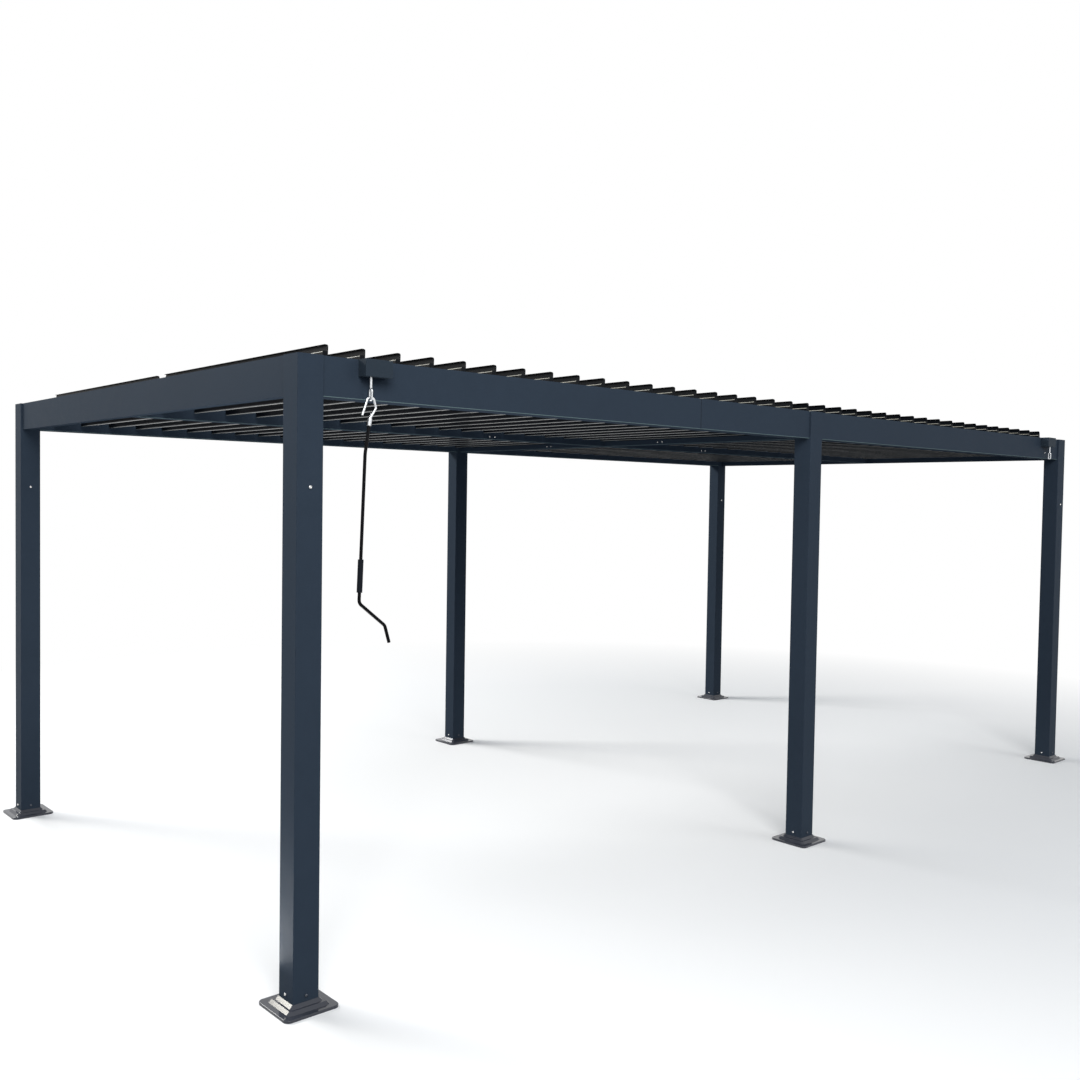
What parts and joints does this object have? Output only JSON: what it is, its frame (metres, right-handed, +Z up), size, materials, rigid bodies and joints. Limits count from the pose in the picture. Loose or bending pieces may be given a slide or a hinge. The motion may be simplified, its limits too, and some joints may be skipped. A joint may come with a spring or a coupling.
{
  "type": "louvered pergola",
  "caption": "Free-standing flat-roofed pergola on slim square posts, with turning roof louvres in bays, gearboxes on the front beam and a hanging hand crank.",
  "frame": {"origin": "on the ground at the middle of the plan, in line with the undersides of the base covers", "axes": "+X along the long side to the right as seen from the front, +Y from the front beam with the gearboxes to the back beam, +Z up"},
  "size_m": [6.11, 3.21, 2.3078],
  "materials": {
    "frame_paint": "satin anthracite powder coat",
    "louvre_paint": "satin near-black powder coat",
    "cover_shell": "smooth dark grey moulding",
    "housing": "satin dark grey",
    "bright_steel": "plated, bright",
    "crank_paint": "satin black",
    "grip": "matte black sleeve"
  },
  "bodies": {
    "frame": {"front_posts": "frame_paint", "back_posts": "frame_paint", "front_beam_left": "frame_paint", "front_beam_middle": "frame_paint", "front_beam_right": "frame_paint", "back_beam_left": "frame_paint", "back_beam_right": "frame_paint", "left_end_beam": "frame_paint", "right_end_beam": "frame_paint", "spine_beam": "frame_paint", "cross_beams": "frame_paint", "post_caps": "frame_paint", "base_covers": "cover_shell", "gearboxes": "housing"},
    "louvre_01": {"louvre_01": "louvre_paint"},
    "louvre_02": {"louvre_02": "louvre_paint"},
    "louvre_03": {"louvre_03": "louvre_paint"},
    "louvre_04": {"louvre_04": "louvre_paint"},
    "louvre_05": {"louvre_05": "louvre_paint"},
    "louvre_06": {"louvre_06": "louvre_paint"},
    "louvre_07": {"louvre_07": "louvre_paint"},
    "louvre_08": {"louvre_08": "louvre_paint"},
    "louvre_09": {"louvre_09": "louvre_paint"},
    "louvre_10": {"louvre_10": "louvre_paint"},
    "louvre_11": {"louvre_11": "louvre_paint"},
    "louvre_12": {"louvre_12": "louvre_paint"},
    "louvre_13": {"louvre_13": "louvre_paint"},
    "louvre_14": {"louvre_14": "louvre_paint"},
    "louvre_15": {"louvre_15": "louvre_paint"},
    "louvre_16": {"louvre_16": "louvre_paint"},
    "louvre_17": {"louvre_17": "louvre_paint"},
    "louvre_18": {"louvre_18": "louvre_paint"},
    "louvre_19": {"louvre_19": "louvre_paint"},
    "louvre_20": {"louvre_20": "louvre_paint"},
    "louvre_21": {"louvre_21": "louvre_paint"},
    "louvre_22": {"louvre_22": "louvre_paint"},
    "louvre_23": {"louvre_23": "louvre_paint"},
    "louvre_24": {"louvre_24": "louvre_paint"},
    "louvre_25": {"louvre_25": "louvre_paint"},
    "louvre_26": {"louvre_26": "louvre_paint"},
    "louvre_27": {"louvre_27": "louvre_paint"},
    "louvre_28": {"louvre_28": "louvre_paint"},
    "louvre_29": {"louvre_29": "louvre_paint"},
    "louvre_30": {"louvre_30": "louvre_paint"},
    "louvre_31": {"louvre_31": "louvre_paint"},
    "louvre_32": {"louvre_32": "louvre_paint"},
    "louvre_33": {"louvre_33": "louvre_paint"},
    "louvre_34": {"louvre_34": "louvre_paint"},
    "louvre_35": {"louvre_35": "louvre_paint"},
    "louvre_36": {"louvre_36": "louvre_paint"},
    "louvre_37": {"louvre_37": "louvre_paint"},
    "louvre_38": {"louvre_38": "louvre_paint"},
    "link_bar_left": {"link_bar_left": "louvre_paint"},
    "link_bar_right": {"link_bar_right": "louvre_paint"},
    "drive_eye_left": {"drive_eye_left": "bright_steel"},
    "drive_eye_right": {"drive_eye_right": "bright_steel"},
    "crank": {"crank_hook": "bright_steel", "crank_rod": "crank_paint", "crank_grip": "grip"}
  },
  "joints": [
    {"name": "louvre_01_turn", "type": "hinge", "parent": "frame", "child": "louvre_01", "pos_m": [-2.83975, 0, 2.218], "axis": [0, 1, 0], "range_deg": [-92, 18]},
    {"name": "louvre_02_turn", "type": "hinge", "parent": "frame", "child": "louvre_02", "pos_m": [-2.68625, 0, 2.218], "axis": [0, 1, 0], "range_deg": [-92, 18]},
    {"name": "louvre_03_turn", "type": "hinge", "parent": "frame", "child": "louvre_03", "pos_m": [-2.53275, 0, 2.218], "axis": [0, 1, 0], "range_deg": [-92, 18]},
    {"name": "louvre_04_turn", "type": "hinge", "parent": "frame", "child": "louvre_04", "pos_m": [-2.37925, 0, 2.218], "axis": [0, 1, 0], "range_deg": [-92, 18]},
    {"name": "louvre_05_turn", "type": "hinge", "parent": "frame", "child": "louvre_05", "pos_m": [-2.22575, 0, 2.218], "axis": [0, 1, 0], "range_deg": [-92, 18]},
    {"name": "louvre_06_turn", "type": "hinge", "parent": "frame", "child": "louvre_06", "pos_m": [-2.07225, 0, 2.218], "axis": [0, 1, 0], "range_deg": [-92, 18]},
    {"name": "louvre_07_turn", "type": "hinge", "parent": "frame", "child": "louvre_07", "pos_m": [-1.91875, 0, 2.218], "axis": [0, 1, 0], "range_deg": [-92, 18]},
    {"name": "louvre_08_turn", "type": "hinge", "parent": "frame", "child": "louvre_08", "pos_m": [-1.76525, 0, 2.218], "axis": [0, 1, 0], "range_deg": [-92, 18]},
    {"name": "louvre_09_turn", "type": "hinge", "parent": "frame", "child": "louvre_09", "pos_m": [-1.61175, 0, 2.218], "axis": [0, 1, 0], "range_deg": [-92, 18]},
    {"name": "louvre_10_turn", "type": "hinge", "parent": "frame", "child": "louvre_10", "pos_m": [-1.45825, 0, 2.218], "axis": [0, 1, 0], "range_deg": [-92, 18]},
    {"name": "louvre_11_turn", "type": "hinge", "parent": "frame", "child": "louvre_11", "pos_m": [-1.30475, 0, 2.218], "axis": [0, 1, 0], "range_deg": [-92, 18]},
    {"name": "louvre_12_turn", "type": "hinge", "parent": "frame", "child": "louvre_12", "pos_m": [-1.15125, 0, 2.218], "axis": [0, 1, 0], "range_deg": [-92, 18]},
    {"name": "louvre_13_turn", "type": "hinge", "parent": "frame", "child": "louvre_13", "pos_m": [-0.99775, 0, 2.218], "axis": [0, 1, 0], "range_deg": [-92, 18]},
    {"name": "louvre_14_turn", "type": "hinge", "parent": "frame", "child": "louvre_14", "pos_m": [-0.84425, 0, 2.218], "axis": [0, 1, 0], "range_deg": [-92, 18]},
    {"name": "louvre_15_turn", "type": "hinge", "parent": "frame", "child": "louvre_15", "pos_m": [-0.69075, 0, 2.218], "axis": [0, 1, 0], "range_deg": [-92, 18]},
    {"name": "louvre_16_turn", "type": "hinge", "parent": "frame", "child": "louvre_16", "pos_m": [-0.53725, 0, 2.218], "axis": [0, 1, 0], "range_deg": [-92, 18]},
    {"name": "louvre_17_turn", "type": "hinge", "parent": "frame", "child": "louvre_17", "pos_m": [-0.38375, 0, 2.218], "axis": [0, 1, 0], "range_deg": [-92, 18]},
    {"name": "louvre_18_turn", "type": "hinge", "parent": "frame", "child": "louvre_18", "pos_m": [-0.23025, 0, 2.218], "axis": [0, 1, 0], "range_deg": [-92, 18]},
    {"name": "louvre_19_turn", "type": "hinge", "parent": "frame", "child": "louvre_19", "pos_m": [-0.07675, 0, 2.218], "axis": [0, 1, 0], "range_deg": [-92, 18]},
    {"name": "louvre_20_turn", "type": "hinge", "parent": "frame", "child": "louvre_20", "pos_m": [0.07675, 0, 2.218], "axis": [0, 1, 0], "range_deg": [-85, 25]},
    {"name": "louvre_21_turn", "type": "hinge", "parent": "frame", "child": "louvre_21", "pos_m": [0.23025, 0, 2.218], "axis": [0, 1, 0], "range_deg": [-85, 25]},
    {"name": "louvre_22_turn", "type": "hinge", "parent": "frame", "child": "louvre_22", "pos_m": [0.38375, 0, 2.218], "axis": [0, 1, 0], "range_deg": [-85, 25]},
    {"name": "louvre_23_turn", "type": "hinge", "parent": "frame", "child": "louvre_23", "pos_m": [0.53725, 0, 2.218], "axis": [0, 1, 0], "range_deg": [-85, 25]},
    {"name": "louvre_24_turn", "type": "hinge", "parent": "frame", "child": "louvre_24", "pos_m": [0.69075, 0, 2.218], "axis": [0, 1, 0], "range_deg": [-85, 25]},
    {"name": "louvre_25_turn", "type": "hinge", "parent": "frame", "child": "louvre_25", "pos_m": [0.84425, 0, 2.218], "axis": [0, 1, 0], "range_deg": [-85, 25]},
    {"name": "louvre_26_turn", "type": "hinge", "parent": "frame", "child": "louvre_26", "pos_m": [0.99775, 0, 2.218], "axis": [0, 1, 0], "range_deg": [-85, 25]},
    {"name": "louvre_27_turn", "type": "hinge", "parent": "frame", "child": "louvre_27", "pos_m": [1.15125, 0, 2.218], "axis": [0, 1, 0], "range_deg": [-85, 25]},
    {"name": "louvre_28_turn", "type": "hinge", "parent": "frame", "child": "louvre_28", "pos_m": [1.30475, 0, 2.218], "axis": [0, 1, 0], "range_deg": [-85, 25]},
    {"name": "louvre_29_turn", "type": "hinge", "parent": "frame", "child": "louvre_29", "pos_m": [1.45825, 0, 2.218], "axis": [0, 1, 0], "range_deg": [-85, 25]},
    {"name": "louvre_30_turn", "type": "hinge", "parent": "frame", "child": "louvre_30", "pos_m": [1.61175, 0, 2.218], "axis": [0, 1, 0], "range_deg": [-85, 25]},
    {"name": "louvre_31_turn", "type": "hinge", "parent": "frame", "child": "louvre_31", "pos_m": [1.76525, 0, 2.218], "axis": [0, 1, 0], "range_deg": [-85, 25]},
    {"name": "louvre_32_turn", "type": "hinge", "parent": "frame", "child": "louvre_32", "pos_m": [1.91875, 0, 2.218], "axis": [0, 1, 0], "range_deg": [-85, 25]},
    {"name": "louvre_33_turn", "type": "hinge", "parent": "frame", "child": "louvre_33", "pos_m": [2.07225, 0, 2.218], "axis": [0, 1, 0], "range_deg": [-85, 25]},
    {"name": "louvre_34_turn", "type": "hinge", "parent": "frame", "child": "louvre_34", "pos_m": [2.22575, 0, 2.218], "axis": [0, 1, 0], "range_deg": [-85, 25]},
    {"name": "louvre_35_turn", "type": "hinge", "parent": "frame", "child": "louvre_35", "pos_m": [2.37925, 0, 2.218], "axis": [0, 1, 0], "range_deg": [-85, 25]},
    {"name": "louvre_36_turn", "type": "hinge", "parent": "frame", "child": "louvre_36", "pos_m": [2.53275, 0, 2.218], "axis": [0, 1, 0], "range_deg": [-85, 25]},
    {"name": "louvre_37_turn", "type": "hinge", "parent": "frame", "child": "louvre_37", "pos_m": [2.68625, 0, 2.218], "axis": [0, 1, 0], "range_deg": [-85, 25]},
    {"name": "louvre_38_turn", "type": "hinge", "parent": "frame", "child": "louvre_38", "pos_m": [2.83975, 0, 2.218], "axis": [0, 1, 0], "range_deg": [-85, 25]},
    {"name": "link_bar_left_pin", "type": "hinge", "parent": "louvre_01", "child": "link_bar_left", "pos_m": [-2.86382, -1.443, 2.18606], "axis": [0, 1, 0], "range_deg": [-18, 92]},
    {"name": "link_bar_right_pin", "type": "hinge", "parent": "louvre_38", "child": "link_bar_right", "pos_m": [2.81975, -1.443, 2.18336], "axis": [0, 1, 0], "range_deg": [-25, 85]},
    {"name": "drive_eye_left_spin", "type": "hinge", "parent": "frame", "child": "drive_eye_left", "pos_m": [-2.722, -1.565, 2.1], "axis": [0, 0, 1], "range_deg": [-1840, 360]},
    {"name": "drive_eye_right_spin", "type": "hinge", "parent": "frame", "child": "drive_eye_right", "pos_m": [2.722, -1.565, 2.1], "axis": [0, 0, 1], "range_deg": [-1700, 500]},
    {"name": "crank_swing", "type": "hinge", "parent": "drive_eye_left", "child": "crank", "pos_m": [-2.722, -1.565, 2.1127], "axis": [0, 1, 0], "range_deg": [-12, 12]}
  ],
  "couplings": [
    {"joint": "louvre_02_turn", "follows": "louvre_01_turn", "ratio": 1},
    {"joint": "louvre_03_turn", "follows": "louvre_01_turn", "ratio": 1},
    {"joint": "louvre_04_turn", "follows": "louvre_01_turn", "ratio": 1},
    {"joint": "louvre_05_turn", "follows": "louvre_01_turn", "ratio": 1},
    {"joint": "louvre_06_turn", "follows": "louvre_01_turn", "ratio": 1},
    {"joint": "louvre_07_turn", "follows": "louvre_01_turn", "ratio": 1},
    {"joint": "louvre_08_turn", "follows": "louvre_01_turn", "ratio": 1},
    {"joint": "louvre_09_turn", "follows": "louvre_01_turn", "ratio": 1},
    {"joint": "louvre_10_turn", "follows": "louvre_01_turn", "ratio": 1},
    {"joint": "louvre_11_turn", "follows": "louvre_01_turn", "ratio": 1},
    {"joint": "louvre_12_turn", "follows": "louvre_01_turn", "ratio": 1},
    {"joint": "louvre_13_turn", "follows": "louvre_01_turn", "ratio": 1},
    {"joint": "louvre_14_turn", "follows": "louvre_01_turn", "ratio": 1},
    {"joint": "louvre_15_turn", "follows": "louvre_01_turn", "ratio": 1},
    {"joint": "louvre_16_turn", "follows": "louvre_01_turn", "ratio": 1},
    {"joint": "louvre_17_turn", "follows": "louvre_01_turn", "ratio": 1},
    {"joint": "louvre_18_turn", "follows": "louvre_01_turn", "ratio": 1},
    {"joint": "louvre_19_turn", "follows": "louvre_01_turn", "ratio": 1},
    {"joint": "louvre_20_turn", "follows": "louvre_38_turn", "ratio": 1},
    {"joint": "louvre_21_turn", "follows": "louvre_38_turn", "ratio": 1},
    {"joint": "louvre_22_turn", "follows": "louvre_38_turn", "ratio": 1},
    {"joint": "louvre_23_turn", "follows": "louvre_38_turn", "ratio": 1},
    {"joint": "louvre_24_turn", "follows": "louvre_38_turn", "ratio": 1},
    {"joint": "louvre_25_turn", "follows": "louvre_38_turn", "ratio": 1},
    {"joint": "louvre_26_turn", "follows": "louvre_38_turn", "ratio": 1},
    {"joint": "louvre_27_turn", "follows": "louvre_38_turn", "ratio": 1},
    {"joint": "louvre_28_turn", "follows": "louvre_38_turn", "ratio": 1},
    {"joint": "louvre_29_turn", "follows": "louvre_38_turn", "ratio": 1},
    {"joint": "louvre_30_turn", "follows": "louvre_38_turn", "ratio": 1},
    {"joint": "louvre_31_turn", "follows": "louvre_38_turn", "ratio": 1},
    {"joint": "louvre_32_turn", "follows": "louvre_38_turn", "ratio": 1},
    {"joint": "louvre_33_turn", "follows": "louvre_38_turn", "ratio": 1},
    {"joint": "louvre_34_turn", "follows": "louvre_38_turn", "ratio": 1},
    {"joint": "louvre_35_turn", "follows": "louvre_38_turn", "ratio": 1},
    {"joint": "louvre_36_turn", "follows": "louvre_38_turn", "ratio": 1},
    {"joint": "louvre_37_turn", "follows": "louvre_38_turn", "ratio": 1},
    {"joint": "link_bar_left_pin", "follows": "louvre_01_turn", "ratio": -1},
    {"joint": "link_bar_right_pin", "follows": "louvre_38_turn", "ratio": -1},
    {"joint": "drive_eye_left_spin", "follows": "louvre_01_turn", "ratio": 20},
    {"joint": "drive_eye_right_spin", "follows": "louvre_38_turn", "ratio": 20}
  ]
}
